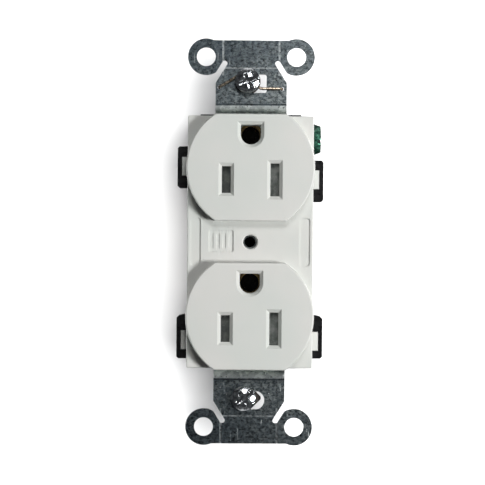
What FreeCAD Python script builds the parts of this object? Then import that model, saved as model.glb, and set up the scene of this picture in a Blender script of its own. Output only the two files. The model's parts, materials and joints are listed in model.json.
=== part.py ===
"""Duplex wall outlet, tamper resistant, with a through strap. Millimetres.

+X is right and +Z is up as seen from the front, and the faces look along -Y.
The origin is on the faceplate screw's axis, in the front plane of the strap's ears.
"""
import os
from math import cos, pi, sin

import FreeCAD, Part
from FreeCAD import Vector

# --- moulded front cover -------------------------------------------------------------
FACE_RADIUS = 16.8
FACE_HEIGHT = 28.0
FACE_PITCH = 38.9
FACE_Y = -6.6
FACE_BACK_Y = 0.2
FACE_WALL = 2.0
FACE_EDGE = 0.45
RIM_Y = -3.1
RIM_WALL = 2.0
SPLIT_Y = 3.0
COVER_WIDTH = 33.0
COVER_HEIGHT = 66.1
COVER_WALL = 1.6
FACE_HOLLOW_R = 15.0
COVER_CORNER = 0.4
COVER_EDGE = 0.3
STRAP_NOTCH = dict(inner=32.6, front=1.2)
PANEL_DEPTH = 0.35
SIDE_PANEL = dict(inner=12.9, outer=15.75, height=12.6)
MARK_PANEL = dict(x=-7.6, z=0.2, width=6.6, height=5.7)
MARK_RIBS = 3
MARK_RIB_WIDTH = 0.7
MARK_RIB_MARGIN = 0.9
PANEL_CORNER = 0.9
PLATE_SCREW_HOLE_R = 1.8
PLATE_SCREW_RIM = 0.35

# --- openings of one outlet, measured from its face's centre -------------------------------
BLADE_X = 6.35
BLADE_DROP = 3.2
SLOT_WIDTH = 2.35
HOT_SLOT_HEIGHT = 7.0
NEUTRAL_SLOT_HEIGHT = 8.6
GROUND_RADIUS = 2.65
GROUND_RISE = 8.65
GROUND_FLAT = 2.55
GROUND_TUBE_WALL = 0.85
OPENING_BEVEL = 0.85

# --- snap latches: side, window centre, arm above, arm below, slope of the top edge -----------
LATCHES = (
    (-1, 19.85, 2.6, 3.1, 0.0),
    (1, 16.5, 2.5, 3.2, 0.0),
    (-1, -25.85, 4.5, 2.3, 0.8),
    (1, -26.0, 4.6, 2.0, 0.8),
)
LATCH_WINDOW = 5.2
LATCH_REACH = 19.2
LATCH_BAR = 1.0
LATCH_FRONT_Y = 0.4
LATCH_BACK_Y = 10.0
LATCH_CORNER = 0.5
HOOK_FRONT_Y = 0.0
HOOK_BACK_Y = 8.5
HOOK_CATCH_Y = 6.0
HOOK_LIP = 0.8
HOOK_GAP = 0.15

# --- rear body -----------------------------------------------------------------------------
BODY_WIDTH = 32.6
BODY_HEIGHT = 65.9
BODY_CORNER = 1.1
BODY_BACK_Y = 22.0
BODY_BACK_EDGE = 0.8
BODY_LIP = dict(inner=9.7, outer=13.3, z=33.65, depth=4.0)
SIDE_CHANNEL = dict(floor=9.95, front=5.2, back=18.8, low=-16.6, high=10.6)
WIRE_HOLE_R = 1.2
WIRE_SPREAD = 3.1
PLATE_SCREW_BORE = dict(wide=3.2, wide_to=6.6, narrow=2.1, narrow_to=18.0)

# --- mounting strap --------------------------------------------------------------------------
STRAP = 1.4
STRAP_END_Z = 53.05
STRAP_NECK = 18.7
BEND_Z = 35.7
BEND_INNER = 0.5
EAR_X = 11.9
EAR_Z = 48.7
EAR_R = 4.8
EAR_HOLE_R = 2.5
EAR_JOIN_X = 7.4
EAR_FOOT = 1.0
SHOULDER = ((9.35, 41.9), (6.7, 46.1))
CUT_WIDTH = 1.45
CUT_END = (7.0, 47.0)
CUT_ANGLE = -58.0
CUT_LENGTH = 12.0
SCORE_Z = 45.8
SCORE_WIDTH = 0.5
SCORE_DEPTH = 0.3
MOUNT_Z = 41.67
MOUNT_SLOT = dict(width=8.1, height=4.9, round_end=2.3, corner=0.6)
STRAP_WAIST = 3.8
WAISTS = ((10.9, 21.9), (-28.1, -17.1))
PIN_HOLE_R = 3.3
TAP_R = 1.39
CLIP_HOLE_R = 0.55

# --- ground contacts, riveted behind the strap -----------------------------------------------
CONTACT_TUBE = dict(inner=2.45, outer=3.05, back=16.0, split=1.2, split_from=7.4)
CONTACT_FLANGE = dict(half_width=7.0, half_height=2.6, thickness=0.8)
RIVET_X = 5.4
RIVET = dict(shank=0.9, head=1.45, head_height=0.55, edge=0.3)

# --- terminals: screw, clamp plate and tapped plate ---------------------------------------------
SCREW_R = 2.03
TAPPED_R = 2.08
SCREW_SHANK = 6.0
SCREW_HEAD = 2.0
HEAD_R = 3.9
HEX_R = 4.2
SCREW_SLOT = dict(width=1.0, depth=0.9)
SLOT_TURNS = (25, 70)
GROUND_SLOT_TURN = 12
CLAMP = dict(thickness=1.2, width=8.4, height=8.6, corner=0.8, groove_r=1.2, groove_in=0.9)
HEX_CHAMFER = 0.7
HEX_TURN = pi / 6
HEAD_EDGE = 0.6
WIRE_GAP = 1.9
TERMINAL_OUT = 16.3
TERMINAL_Y = 12.0
TERMINAL_Z = (5.6, -11.4)
GROUND_OUT = 18.6
GROUND_TERMINAL_Y = 8.2
GROUND_TERMINAL_Z = 27.4
GROUND_TAB = dict(outer=13.6, low=23.0, high=31.8, back=12.9)
GROUND_SHANK = 6.5

# --- blade contacts ------------------------------------------------------------------------
STRIP = dict(inner=10.0, outer=11.2, front=6.0, back=18.0)
LEAF = 0.6
LEAF_GAP = 1.3
LEAF_FRONT_Y = 6.0
LEAF_BACK_Y = 17.0
LEAF_HALF_HEIGHT = 3.4
FLARE = dict(wide=0.5, front=1.0, back=0.6)
ARM = dict(front=8.0, back=14.0, thickness=0.9, margin=0.4)
BREAK_OFF = dict(half=2.0, tab=2.5, front=10.0, back=14.0, fin=2.2, fin_half=0.5)
GRIP_CAVITY = dict(inner=4.6, outer=8.1, half_height=4.6, back=17.6)

# --- shutters ------------------------------------------------------------------------------
SHUTTER_TRAVEL = 2.9
SHUTTER = dict(front=-4.45, back=-2.85, left=-11.6, right=8.6, low=-8.05, high=1.65)
SHUTTER_LAND = 1.45
SHUTTER_LIP = 0.35
BLADE_WINDOW = 2.7
SPRING_WINDOW = dict(left=-4.6, right=2.0, low=-5.4, high=-1.0)
SPRING_POST = dict(left=0.3, right=1.3)
SPRING = dict(mean=0.68, wire=0.15, turns=5, steps=14, sides=8, gap=0.05)
TRAY = dict(front=-4.5, floor=-2.75, back=-1.95, half_width=12.3, low=-8.95, high=2.55)
TRAY_RIB = dict(half_width=1.5, low=-7.4, high=0.6, back=2.95)

# --- mounting screws and grounding clip -------------------------------------------------------
MOUNT_SCREW = dict(
    thread=1.72, neck=1.52, neck_end=2.85, head=3.25, head_height=2.05, dome=0.9, tip=19.5, point=0.6
)
SCREW_PLACES = dict(upper=(-0.95, 42.35, -0.85, 20.0), lower=(-1.4, -41.1, -0.2, 37.0))
DRIVE = dict(slot=0.9, slot_depth=0.95, cross=0.95, cross_span=4.0, cross_depth=1.5)
WASHER = dict(hole=1.62, outer=3.4, front=1.45, thickness=0.8)
SQUARE_WASHER = dict(side=6.9, corner=0.8, turn=45.0)
CLIP_WIRE_R = 0.375
CLIP_Y = -0.42
CLIP_TAIL_Y = 2.3
CLIP_ROOM = 0.03
CLIP_ROUTE = (
    (-8.4, 40.7), (-2.4, 44.35), (0.7, 44.35), (1.35, 43.5), (1.35, 41.3), (2.3, 40.35), (8.1, 40.35)
)
CLIP_EYE = dict(outer=0.98, front=-0.3)

CLIP_HOLES = (CLIP_ROUTE[0], CLIP_ROUTE[-1])
FIT = 0.1
ROOM = 0.3
PAST = 1.0
SLIGHT = 0.2
TOUCH = 1e-6
FACE_CENTRES = dict(upper=FACE_PITCH / 2, lower=-FACE_PITCH / 2)
LONG = 100.0


# --- helpers ---------------------------------------------------------------------------------
def box(x, y, z):
    """Box between the pairs x, y and z, in either order."""
    (x0, x1), (y0, y1), (z0, z1) = sorted(x), sorted(y), sorted(z)
    return Part.makeBox(x1 - x0, y1 - y0, z1 - z0, Vector(x0, y0, z0))


def rod(radius, start, end):
    """Cylinder from one centre to the other."""
    way = Vector(*end) - Vector(*start)
    return Part.makeCylinder(radius, way.Length, Vector(*start), way)


def along_y(radius, x, z, y0, y1):
    return rod(radius, (x, min(y0, y1), z), (x, max(y0, y1), z))


def prism(points, y0, y1):
    """Solid with the given outline in X and Z, between two depths."""
    wire = Part.makePolygon([Vector(x, y0, z) for x, z in list(points) + [points[0]]])
    return Part.Face(wire).extrude(Vector(0, y1 - y0, 0))


def plan_prism(points, z0, z1):
    """Solid with the given outline in X and Y, between two heights."""
    wire = Part.makePolygon([Vector(x, y, z0) for x, y in list(points) + [points[0]]])
    return Part.Face(wire).extrude(Vector(0, 0, z1 - z0))


def rounded(solid, radius, wanted):
    """Fillet the edges that the test picks."""
    return solid.makeFillet(radius, [e for e in solid.Edges if wanted(e)])


def runs_along_y(edge):
    way = edge.Vertexes[-1].Point - edge.Vertexes[0].Point
    return way.Length > 0 and abs(way.y) > 0.99 * way.Length


def lies_at_y(y):
    return lambda edge: all(abs(v.Y - y) < TOUCH for v in edge.Vertexes)


def rounded_block(width, height, y0, y1, corner):
    block = box((-width / 2, width / 2), (y0, y1), (-height / 2, height / 2))
    return rounded(block, corner, runs_along_y)


def panel(x, z, corner):
    """Shallow sunken panel in the rim plane."""
    block = box(x, (RIM_Y - PAST, RIM_Y + PANEL_DEPTH), z)
    return rounded(block, corner, runs_along_y)


def cut_all(solid, tools):
    for tool in tools:
        solid = solid.cut(tool)
    return solid


def fuse_all(solids):
    return solids[0].multiFuse(solids[1:]).removeSplitter()


def both_sides(points):
    """Close a half outline over the X = 0 plane."""
    return list(points) + [(-x, z) for x, z in reversed(points)]


# --- front cover -----------------------------------------------------------------------------
def face_block(centre, radius, height, y0, y1):
    """Disc with its top and bottom cut flat."""
    heights = (centre - height / 2, centre + height / 2)
    return along_y(radius, 0, centre, y0, y1).common(box((-LONG, LONG), (y0, y1), heights))


def slot_cutter(x, centre, height):
    """Blade slot through the face, with its lead-in bevel."""
    half_w, half_h = SLOT_WIDTH / 2, height / 2
    heights = (centre - half_h, centre + half_h)
    through = box((x - half_w, x + half_w), (FACE_Y - PAST, SPLIT_Y), heights)

    def outline(y, grow):
        w, h = half_w + grow, half_h + grow
        corners = ((x - w, centre - h), (x + w, centre - h), (x + w, centre + h), (x - w, centre + h))
        return Part.makePolygon([Vector(a, y, b) for a, b in corners + corners[:1]])

    ends = [outline(FACE_Y, OPENING_BEVEL), outline(FACE_Y + OPENING_BEVEL, 0)]
    return through.fuse(Part.makeLoft(ends, True, True))


def ground_outline(centre, y, grow):
    """Round-bottomed outline with a flat top."""
    r = GROUND_RADIUS + grow
    z = centre + GROUND_RISE
    top = z + GROUND_FLAT + grow
    arc = Part.Arc(Vector(-r, y, z), Vector(0, y, z - r), Vector(r, y, z))
    corners = (Vector(r, y, z), Vector(r, y, top), Vector(-r, y, top), Vector(-r, y, z))
    lines = [Part.LineSegment(a, b) for a, b in zip(corners, corners[1:])]
    return Part.Wire([part.toShape() for part in [arc] + lines])


def ground_block(centre, y0, y1, grow=0.0):
    return Part.Face(ground_outline(centre, y0, grow)).extrude(Vector(0, y1 - y0, 0))


def ground_cutter(centre):
    front = ground_outline(centre, FACE_Y, OPENING_BEVEL)
    back = ground_outline(centre, FACE_Y + OPENING_BEVEL, 0)
    through = ground_block(centre, FACE_Y - PAST, SPLIT_Y + PAST)
    return through.fuse(Part.makeLoft([front, back], True, True))


def snap_hook(side, window):
    """Leg beside the skirt that reaches back into a latch pocket, with a lip that catches in it."""
    half = LATCH_WINDOW / 2 - HOOK_GAP
    root = COVER_WIDTH / 2 - COVER_WALL / 2
    inner = BODY_WIDTH / 2 + HOOK_GAP
    outer = LATCH_REACH - LATCH_BAR - HOOK_GAP
    lip = outer + HOOK_LIP
    points = (
        (root, HOOK_FRONT_Y),
        (outer - HOOK_GAP, HOOK_FRONT_Y),
        (outer, HOOK_FRONT_Y + HOOK_GAP),
        (outer, HOOK_CATCH_Y),
        (lip, HOOK_CATCH_Y),
        (outer - HOOK_LIP / 2, HOOK_BACK_Y),
        (inner, HOOK_BACK_Y),
        (inner, SPLIT_Y),
        (root, SPLIT_Y),
    )
    return plan_prism([(side * x, y) for x, y in points], window - half, window + half)


def mark_ribs():
    """Plain upright ribs that fill the small panel."""
    floor = RIM_Y + PANEL_DEPTH
    left = MARK_PANEL["x"] - MARK_PANEL["width"] / 2
    step = MARK_PANEL["width"] / (MARK_RIBS + 1)
    reach = MARK_PANEL["height"] / 2 - MARK_RIB_MARGIN
    for i in range(1, MARK_RIBS + 1):
        x = left + i * step
        ends = (MARK_PANEL["z"] - reach, MARK_PANEL["z"] + reach)
        sides = (x - MARK_RIB_WIDTH / 2, x + MARK_RIB_WIDTH / 2)
        yield box(sides, (floor - SLIGHT, floor + SLIGHT), ends)


def cover_panels():
    half_height = SIDE_PANEL["height"] / 2
    for side in (-1, 1):
        x = (side * SIDE_PANEL["inner"], side * SIDE_PANEL["outer"])
        yield panel(x, (-half_height, half_height), PANEL_CORNER)
    x, z = MARK_PANEL["x"], MARK_PANEL["z"]
    half_w, half_h = MARK_PANEL["width"] / 2, MARK_PANEL["height"] / 2
    yield panel((x - half_w, x + half_w), (z - half_h, z + half_h), PANEL_CORNER / 2)


def cover_shell():
    skirt = rounded_block(COVER_WIDTH, COVER_HEIGHT, RIM_Y, SPLIT_Y, COVER_CORNER)
    skirt = rounded(skirt, COVER_EDGE, lies_at_y(RIM_Y))
    faces = []
    for centre in FACE_CENTRES.values():
        face = face_block(centre, FACE_RADIUS, FACE_HEIGHT, FACE_Y, FACE_BACK_Y)
        faces.append(rounded(face, FACE_EDGE, lies_at_y(FACE_Y)))
    shell = fuse_all([skirt] + faces)
    width, height = COVER_WIDTH - 2 * COVER_WALL, COVER_HEIGHT - 2 * COVER_WALL
    hollows = [rounded_block(width, height, RIM_Y + RIM_WALL, SPLIT_Y + PAST, COVER_CORNER / 2)]
    for centre in FACE_CENTRES.values():
        face_height = FACE_HEIGHT - 2 * COVER_WALL
        hollows.append(face_block(centre, FACE_HOLLOW_R, face_height, FACE_Y + FACE_WALL, 0))
    return cut_all(shell, hollows + list(strap_notches()))


def strap_notches():
    """Steps in the top and bottom edges that the strap's inner bends sit in."""
    half = STRAP_NECK / 2 + SLIGHT
    for way in (-1, 1):
        heights = (way * STRAP_NOTCH["inner"], way * LONG)
        yield box((-half, half), (STRAP_NOTCH["front"], SPLIT_Y + PAST), heights)


def cover():
    shell = cut_all(cover_shell(), cover_panels())
    front, back = FACE_Y + FACE_WALL / 2, SPLIT_Y - FIT
    tubes = [ground_block(z, front, back, GROUND_TUBE_WALL) for z in FACE_CENTRES.values()]
    hooks = [snap_hook(side, window) for side, window, _, _, _ in LATCHES]
    shell = fuse_all([shell] + tubes + hooks + list(mark_ribs()))
    shell = shell.cut(along_y(PLATE_SCREW_HOLE_R, 0, 0, RIM_Y - PAST, SPLIT_Y + PAST))
    mouth = PLATE_SCREW_HOLE_R + PLATE_SCREW_RIM
    place = (Vector(0, RIM_Y, 0), Vector(0, 1, 0))
    shell = shell.cut(Part.makeCone(mouth, PLATE_SCREW_HOLE_R, PLATE_SCREW_RIM, *place))
    for centre in FACE_CENTRES.values():
        blades = centre - BLADE_DROP
        shell = shell.cut(slot_cutter(-BLADE_X, blades, HOT_SLOT_HEIGHT))
        shell = shell.cut(slot_cutter(BLADE_X, blades, NEUTRAL_SLOT_HEIGHT))
        shell = shell.cut(ground_cutter(centre))
    return shell


# --- rear body -------------------------------------------------------------------------------
def latch_pocket(side, window, above, below, slope):
    """Frame beside the body that takes one snap hook."""
    wall = BODY_WIDTH / 2 - PAST
    half = LATCH_WINDOW / 2
    heights = (window - half, window + half)
    top, bottom = window + half + above, window - half - below
    outline = (
        (wall, bottom), (LATCH_REACH - LATCH_CORNER, bottom), (LATCH_REACH, bottom + LATCH_CORNER),
        (LATCH_REACH, top - slope - LATCH_CORNER), (LATCH_REACH - LATCH_CORNER, top - slope), (wall, top),
    )
    frame = prism([(side * x, z) for x, z in outline], LATCH_FRONT_Y, LATCH_BACK_Y)
    inner = [side * x for x in (BODY_WIDTH / 2, LATCH_REACH - LATCH_BAR)]
    well = box(inner, (LATCH_FRONT_Y - PAST, HOOK_BACK_Y + ROOM), heights)
    bar = [side * x for x in (LATCH_REACH - LATCH_BAR - PAST, LATCH_REACH + PAST)]
    catch = box(bar, (HOOK_CATCH_Y - FIT, HOOK_BACK_Y), heights)
    skirt = [side * x for x in (wall - PAST, COVER_WIDTH / 2 + FIT)]
    front = box(skirt, (LATCH_FRONT_Y - PAST, SPLIT_Y), (-LONG, LONG))
    return cut_all(frame, (well, catch, front))


def strap_recess():
    """Tray for the strap in the body's front edge."""
    half = STRAP_NECK / 2 + FIT
    back = SPLIT_Y + STRAP + FIT / 2
    tab = (GROUND_TAB["low"] - ROOM, GROUND_TAB["high"] + ROOM)
    yield box((-half, half), (SPLIT_Y - PAST, back), (-LONG, LONG))
    yield box((0, GROUND_TAB["outer"] + FIT), (SPLIT_Y - PAST, back), tab)


def grip_cavities(side):
    """Rooms for the two blade grips of one side, with the slots for their arms."""
    cavity = [side * GRIP_CAVITY[key] for key in ("inner", "outer")]
    for name, centre in FACE_CENTRES.items():
        z = centre - BLADE_DROP
        reach = GRIP_CAVITY["half_height"]
        yield box(cavity, (SPLIT_Y, GRIP_CAVITY["back"]), (z - reach, z + reach))
        low, high = arm_heights(name)
        near, back = side * (BLADE_X + ROOM), ARM["back"] + ROOM
        post = (min(low, z) - SLIGHT, max(high, z) + SLIGHT)
        yield box((near, cavity[1]), (SPLIT_Y, back), post)
        arm = (near, side * (STRIP["inner"] + FIT))
        yield box(arm, (SPLIT_Y + PAST, back), (low - SLIGHT, high + SLIGHT))


def side_channel(side):
    """Open room for a side's terminal screws and clamp plates, and the holes behind the screws."""
    yield box(
        [side * x for x in (SIDE_CHANNEL["floor"], LONG)],
        (SIDE_CHANNEL["front"], SIDE_CHANNEL["back"]),
        (SIDE_CHANNEL["low"], SIDE_CHANNEL["high"]),
    )
    tip = TERMINAL_OUT - SCREW_HEAD - SCREW_SHANK - WIRE_GAP - ROOM
    wire_x = TERMINAL_OUT - SCREW_HEAD - CLAMP["thickness"] - WIRE_GAP / 2
    for z in TERMINAL_Z:
        ends = [(side * x, TERMINAL_Y, z) for x in (tip, STRIP["outer"])]
        yield rod(SCREW_R + ROOM, *ends)
        for hole in (z - WIRE_SPREAD, z + WIRE_SPREAD):
            depths = (SIDE_CHANNEL["back"] - PAST, BODY_BACK_Y + PAST)
            yield along_y(WIRE_HOLE_R, side * wire_x, hole, *depths)


def ground_terminal_room():
    tab = GROUND_TAB
    heights = (tab["low"] - ROOM, tab["high"] + ROOM)
    inner = tab["outer"] - STRAP - FIT
    yield box((inner, LONG), (SPLIT_Y - PAST, tab["back"] + ROOM), heights)
    tip = GROUND_OUT - SCREW_HEAD - GROUND_SHANK - WIRE_GAP
    ends = [(x, GROUND_TERMINAL_Y, GROUND_TERMINAL_Z) for x in (tip, tab["outer"])]
    yield rod(SCREW_R + ROOM, *ends)
    wire_x = GROUND_OUT - SCREW_HEAD - CLAMP["thickness"] - WIRE_GAP / 2
    for hole in (-WIRE_SPREAD, WIRE_SPREAD):
        z = GROUND_TERMINAL_Z + hole
        yield along_y(WIRE_HOLE_R, wire_x, z, tab["back"], BODY_BACK_Y + PAST)


def ground_contact_room(centre):
    z = centre + GROUND_RISE
    flange = CONTACT_FLANGE
    half_w, half_h = flange["half_width"] + SLIGHT, flange["half_height"] + SLIGHT
    depth = SPLIT_Y + STRAP + flange["thickness"] + RIVET["head_height"] + ROOM
    yield box((-half_w, half_w), (SPLIT_Y, depth), (z - half_h, z + half_h))
    yield along_y(CONTACT_TUBE["outer"] + ROOM, 0, z, SPLIT_Y, CONTACT_TUBE["back"] + ROOM)


def rear_body():
    block = rounded_block(BODY_WIDTH, BODY_HEIGHT, SPLIT_Y, BODY_BACK_Y, BODY_CORNER)
    block = block.makeChamfer(BODY_BACK_EDGE, [e for e in block.Edges if lies_at_y(BODY_BACK_Y)(e)])
    lips = []
    for side in (-1, 1):
        x = [side * BODY_LIP[key] for key in ("inner", "outer")]
        heights = (BODY_LIP["z"] - BODY_LIP["depth"], BODY_LIP["z"])
        lips.append(box(x, (SPLIT_Y, SPLIT_Y + BODY_LIP["depth"]), heights))
    body = fuse_all([block] + [latch_pocket(*latch) for latch in LATCHES] + lips)
    tools = list(strap_recess()) + list(ground_terminal_room())
    for side in (-1, 1):
        tools += list(grip_cavities(side)) + list(side_channel(side))
    for centre in FACE_CENTRES.values():
        tools += list(ground_contact_room(centre))
    bore = PLATE_SCREW_BORE
    tools.append(along_y(bore["wide"], 0, 0, SPLIT_Y, bore["wide_to"]))
    tools.append(along_y(bore["narrow"], 0, 0, SPLIT_Y, bore["narrow_to"]))
    return cut_all(body, tools)


# --- mounting strap ------------------------------------------------------------------------------
def strap_profile():
    """Arcs of the two bends at the strap's upper end: front and back face of each."""
    inner, outer = BEND_INNER, BEND_INNER + STRAP
    first = (outer, BEND_Z)
    second = (SPLIT_Y - inner, BEND_Z - outer - inner)
    s = sin(pi / 4)

    def arc(centre, radius, start, middle, end):
        cy, cz = centre
        return Part.Arc(*[Vector(0, cy + radius * y, cz + radius * z) for y, z in (start, middle, end)])

    front = arc(first, outer, (-1, 0), (-s, -s), (0, -1))
    front_in = arc(second, inner, (0, 1), (s, s), (1, 0))
    back = arc(first, inner, (-1, 0), (-s, -s), (0, -1))
    back_in = arc(second, outer, (0, 1), (s, s), (1, 0))
    return front, front_in, back, back_in


def strap_sheet():
    front, front_in, back, back_in = strap_profile()

    def flip(curve):
        shape = curve.toShape()
        return shape.mirror(Vector(0, 0, 0), Vector(0, 0, 1))

    def line(y0, z0, y1, z1):
        return Part.LineSegment(Vector(0, y0, z0), Vector(0, y1, z1)).toShape()

    mid_y, inner_z = SPLIT_Y, BEND_Z - 2 * BEND_INNER - STRAP
    edges = [line(0, LONG, STRAP, LONG), line(0, -LONG, STRAP, -LONG)]
    edges += [line(mid_y, inner_z, mid_y, -inner_z), line(mid_y + STRAP, inner_z, mid_y + STRAP, -inner_z)]
    outer = BEND_INNER + STRAP
    for way in (1, -1):
        edges.append(line(0, way * LONG, 0, way * BEND_Z))
        edges.append(line(STRAP, way * LONG, STRAP, way * BEND_Z))
        front_z, back_z = way * (BEND_Z - outer), way * (BEND_Z - BEND_INNER)
        edges.append(line(outer, front_z, SPLIT_Y - BEND_INNER, front_z))
        edges.append(line(outer, back_z, SPLIT_Y - BEND_INNER, back_z))
    for curve in (front, front_in, back, back_in):
        edges += [curve.toShape(), flip(curve)]
    wire = Part.Wire(Part.__sortEdges__(edges))
    width = 2 * LONG
    sheet = Part.Face(wire).extrude(Vector(width, 0, 0))
    sheet.translate(Vector(-width / 2, 0, 0))
    return sheet


def neck_outline(way):
    """Plan of one end: neck, sloping shoulders, and the bar between the ears."""
    (neck_x, neck_z), (shoulder_x, shoulder_z) = SHOULDER
    half = (
        (neck_x, 0), (neck_x, neck_z), (shoulder_x, shoulder_z),
        (EAR_JOIN_X, CUT_END[1]), (EAR_X, CUT_END[1] - EAR_FOOT), (EAR_X, STRAP_END_Z),
    )
    return both_sides([(x, way * z) for x, z in half])


def ear_cut(side, way):
    """Round-ended slit that frees an ear from the shoulder."""
    x, z = side * CUT_END[0], way * CUT_END[1]
    angle = CUT_ANGLE * pi / 180
    step_x, step_z = side * cos(angle), way * sin(angle)
    half = CUT_WIDTH / 2
    nx, nz = -step_z * half, step_x * half
    far_x, far_z = x + CUT_LENGTH * step_x, z + CUT_LENGTH * step_z
    corners = ((x + nx, z + nz), (far_x + nx, far_z + nz), (far_x - nx, far_z - nz), (x - nx, z - nz))
    depths = (-PAST, STRAP + PAST)
    return prism(corners, *depths).fuse(along_y(half, x, z, *depths))


def strap_plan():
    """Everything that the strap's outline holds, as one tall block."""
    y0, y1 = -PAST, SPLIT_Y + STRAP + PAST
    blocks = []
    for way in (-1, 1):
        blocks.append(prism(neck_outline(way), y0, y1))
        for side in (-1, 1):
            blocks.append(along_y(EAR_R, side * EAR_X, way * EAR_Z, y0, y1))
    tab = GROUND_TAB
    blocks.append(box((0, tab["outer"]), (y0, y1), (tab["low"], tab["high"])))
    return fuse_all(blocks)


def strap_openings():
    y0, y1 = -PAST, SPLIT_Y + STRAP + PAST
    for way in (-1, 1):
        half_w, half_h = MOUNT_SLOT["width"] / 2, MOUNT_SLOT["height"] / 2
        centre = way * MOUNT_Z
        slot = box((-half_w, half_w), (y0, y1), (centre - half_h, centre + half_h))
        slot = rounded(slot, MOUNT_SLOT["round_end"], lambda e: runs_along_y(e) and e.Vertexes[0].X < 0)
        right = MOUNT_SLOT["corner"] if way > 0 else MOUNT_SLOT["round_end"]
        yield rounded(slot, right, lambda e: runs_along_y(e) and e.Vertexes[0].X > half_w - TOUCH)
        score = (way * SCORE_Z - SCORE_WIDTH / 2, way * SCORE_Z + SCORE_WIDTH / 2)
        yield box((-EAR_JOIN_X, EAR_JOIN_X), (-PAST, SCORE_DEPTH), score)
        for side in (-1, 1):
            yield along_y(EAR_HOLE_R, side * EAR_X, way * EAR_Z, y0, y1)
            yield ear_cut(side, way)
            x = side * EAR_JOIN_X
            score = (x - SCORE_WIDTH / 2, x + SCORE_WIDTH / 2)
            for depths in ((-PAST, SCORE_DEPTH), (STRAP - SCORE_DEPTH, STRAP + PAST)):
                yield box(score, depths, (way * MOUNT_Z, way * LONG))
    for low, high in WAISTS:
        for side in (-1, 1):
            yield box((side * STRAP_WAIST, side * LONG), (SPLIT_Y - FIT, y1), (low, high))
    for centre in FACE_CENTRES.values():
        yield along_y(PIN_HOLE_R, 0, centre + GROUND_RISE, y0, y1)
        for side in (-1, 1):
            yield along_y(RIVET["shank"], side * RIVET_X, centre + GROUND_RISE, y0, y1)


def ground_tab():
    """Tab folded back from the strap that the ground screw threads into."""
    tab = GROUND_TAB
    inner = tab["outer"] - STRAP
    leaf = box((inner, tab["outer"]), (SPLIT_Y, tab["back"]), (tab["low"], tab["high"]))
    ends = [(x, GROUND_TERMINAL_Y, GROUND_TERMINAL_Z) for x in (inner - PAST, tab["outer"] + PAST)]
    hole = rod(TAPPED_R, *ends)
    return rounded(leaf, STRAP / 2, lambda e: fold_edge(e, tab["outer"])).cut(hole)


def fold_edge(edge, x):
    """The outer edge of a fold, which runs along Z at the strap's front."""
    return all(abs(v.X - x) < TOUCH and abs(v.Y - SPLIT_Y) < TOUCH for v in edge.Vertexes)


def clip_notches():
    """Room for the grounding clip's wire through the raised rims round its holes."""
    for (x0, z0), (x1, z1) in (CLIP_ROUTE[:2], CLIP_ROUTE[:-3:-1]):
        yield rod(CLIP_WIRE_R + CLIP_ROOM, (x0, CLIP_Y, z0), (x1, CLIP_Y, z1))


def mounting_strap():
    flat = strap_sheet().common(strap_plan())
    tab = GROUND_TAB
    heights = (tab["low"] - PAST, tab["high"] + PAST)
    corner = box((tab["outer"] - STRAP, LONG), (SPLIT_Y - PAST, SPLIT_Y + STRAP), heights)
    strap = cut_all(flat.cut(corner), strap_openings())
    eyes = [along_y(CLIP_EYE["outer"], x, z, CLIP_EYE["front"], FIT) for x, z in CLIP_HOLES]
    eyes = [cut_all(eye, clip_notches()) for eye in eyes]
    strap = fuse_all([strap, ground_tab()] + eyes)
    holes = [along_y(CLIP_HOLE_R, x, z, CLIP_EYE["front"] - PAST, STRAP + PAST) for x, z in CLIP_HOLES]
    tap = along_y(TAP_R, 0, 0, SPLIT_Y - PAST, SPLIT_Y + STRAP + PAST)
    return cut_all(strap, holes + [tap])


# --- ground contacts -------------------------------------------------------------------------------
def ground_contact(centre):
    """Flanged split tube that grips the round ground pin."""
    z = centre + GROUND_RISE
    front = SPLIT_Y + STRAP
    flange, tube = CONTACT_FLANGE, CONTACT_TUBE
    plate = box(
        (-flange["half_width"], flange["half_width"]),
        (front, front + flange["thickness"]),
        (z - flange["half_height"], z + flange["half_height"]),
    )
    grip = along_y(tube["outer"], 0, z, front, tube["back"])
    half = tube["split"] / 2
    heights = (z - tube["outer"] - PAST, z + tube["outer"] + PAST)
    split = box((-half, half), (tube["split_from"], tube["back"] + PAST), heights)
    bore = along_y(tube["inner"], 0, z, front - PAST, tube["back"] + PAST)
    contact = plate.fuse(grip.cut(split)).cut(bore)
    for side in (-1, 1):
        contact = contact.cut(along_y(RIVET["shank"], side * RIVET_X, z, 0, LONG))
    return contact


def ground_rivets():
    """Four rivets, as a group of separate solids."""
    front, back = SPLIT_Y, SPLIT_Y + STRAP + CONTACT_FLANGE["thickness"]
    rivets = []
    for centre in FACE_CENTRES.values():
        z = centre + GROUND_RISE
        for side in (-1, 1):
            x = side * RIVET_X
            shank = along_y(RIVET["shank"], x, z, front - FIT, back + FIT)
            head = along_y(RIVET["head"], x, z, front - RIVET["head_height"], front)
            tail = along_y(RIVET["head"], x, z, back, back + RIVET["head_height"])
            head = rounded(head, RIVET["edge"], lies_at_y(front - RIVET["head_height"]))
            rivets.append(fuse_all([shank, head, tail]))
    return Part.makeCompound(rivets)


# --- blade contacts ----------------------------------------------------------------------------------
def arm_heights(name):
    """Lowest and highest Z of the arm that joins a grip to its terminal plate."""
    if name == "upper":
        high = SIDE_CHANNEL["high"] - ARM["margin"]
        return high - ARM["thickness"], high
    low = SIDE_CHANNEL["low"] + ARM["margin"]
    return low, low + ARM["thickness"]


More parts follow.
